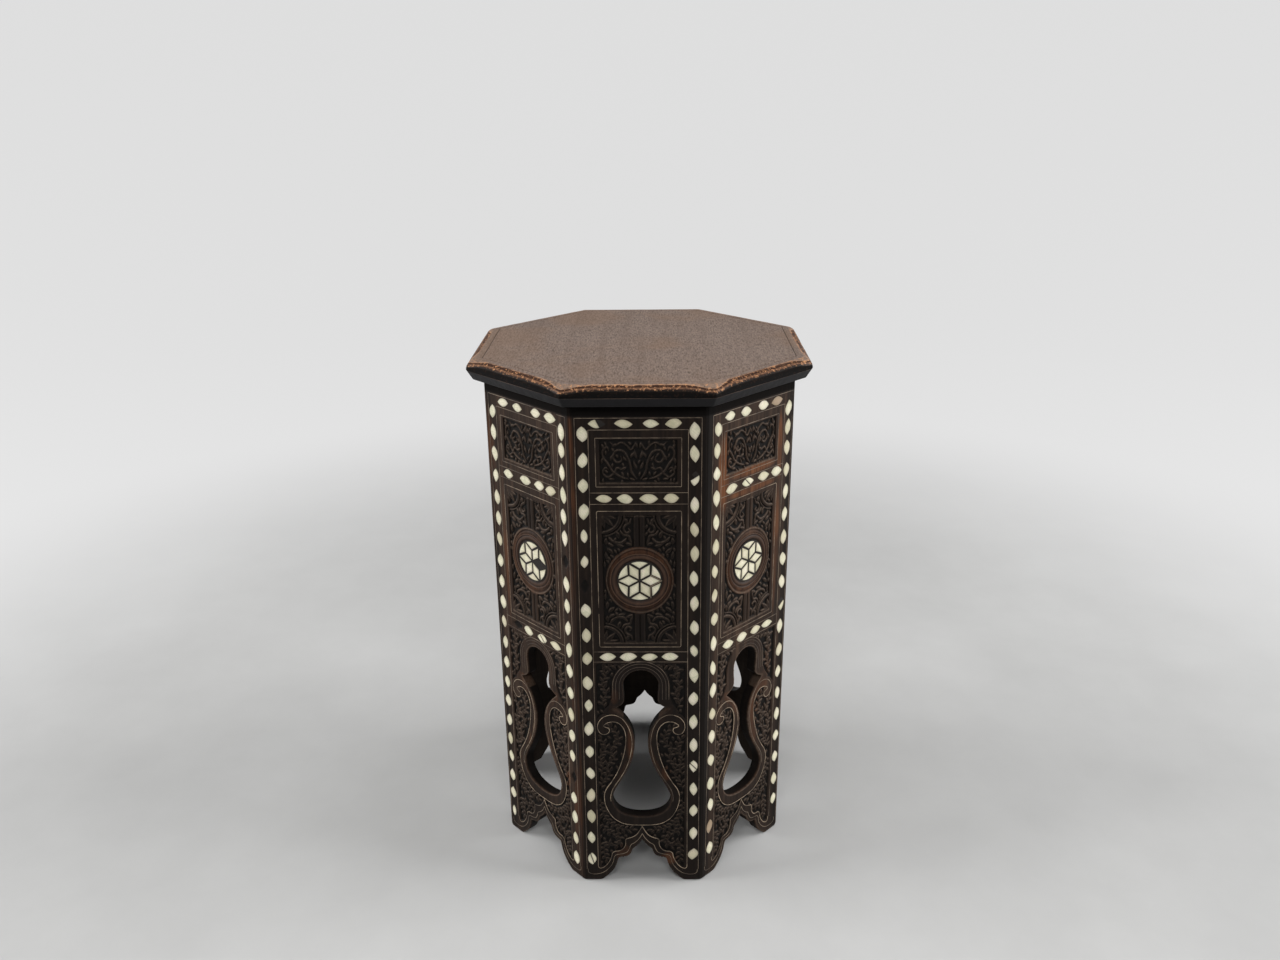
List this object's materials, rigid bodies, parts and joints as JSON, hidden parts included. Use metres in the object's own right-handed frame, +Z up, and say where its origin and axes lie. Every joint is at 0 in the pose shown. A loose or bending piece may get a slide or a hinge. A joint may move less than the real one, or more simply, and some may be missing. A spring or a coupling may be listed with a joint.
{
  "type": "octagonal kursi stool",
  "caption": "Octagonal carved walnut stool with a plain rolled-edge top, pearl lozenge inlay, star medallions, and vase-shaped openings over arched feet.",
  "frame": {"origin": "on the floor under the centre of the drum", "axes": "+Z up, -Y towards the front side board, +X to its right"},
  "size_m": [0.29, 0.29, 0.48],
  "materials": {
    "top_walnut": "old dull polish, worn to copper brown on the rolled edge",
    "carved_walnut": "dark oiled walnut, carved, worn lighter on the edges",
    "medallion_wood": "turned, satin",
    "pearl": "mother of pearl, cream with a green cast",
    "stringing": "thin dulled metal stringing",
    "inner_wood": "bare, rough sawn",
    "steel": "dull screw steel"
  },
  "bodies": {
    "root": {"top_board": "top_walnut", "side_board_1": "carved_walnut", "side_board_2": "carved_walnut", "side_board_3": "carved_walnut", "side_board_4": "carved_walnut", "side_board_5": "carved_walnut", "side_board_6": "carved_walnut", "side_board_7": "carved_walnut", "side_board_8": "carved_walnut", "medallion_1": "medallion_wood", "medallion_2": "medallion_wood", "medallion_3": "medallion_wood", "medallion_4": "medallion_wood", "medallion_5": "medallion_wood", "medallion_6": "medallion_wood", "medallion_7": "medallion_wood", "medallion_8": "medallion_wood", "pearl_star_1": "pearl", "pearl_star_2": "pearl", "pearl_star_3": "pearl", "pearl_star_4": "pearl", "pearl_star_5": "pearl", "pearl_star_6": "pearl", "pearl_star_7": "pearl", "pearl_star_8": "pearl", "corner_block_1": "inner_wood", "corner_block_2": "inner_wood", "corner_block_3": "inner_wood", "corner_block_4": "inner_wood", "corner_block_5": "inner_wood", "corner_block_6": "inner_wood", "corner_block_7": "inner_wood", "corner_block_8": "inner_wood", "top_cleat_1": "inner_wood", "top_cleat_2": "inner_wood", "top_cleat_3": "inner_wood", "top_cleat_4": "inner_wood", "top_cleat_5": "inner_wood", "top_cleat_6": "inner_wood", "top_cleat_7": "inner_wood", "top_cleat_8": "inner_wood", "top_screw_1": "steel", "top_screw_2": "steel", "top_screw_3": "steel", "top_screw_4": "steel", "top_screw_5": "steel", "top_screw_6": "steel", "top_screw_7": "steel", "top_screw_8": "steel"}
  },
  "joints": []
}
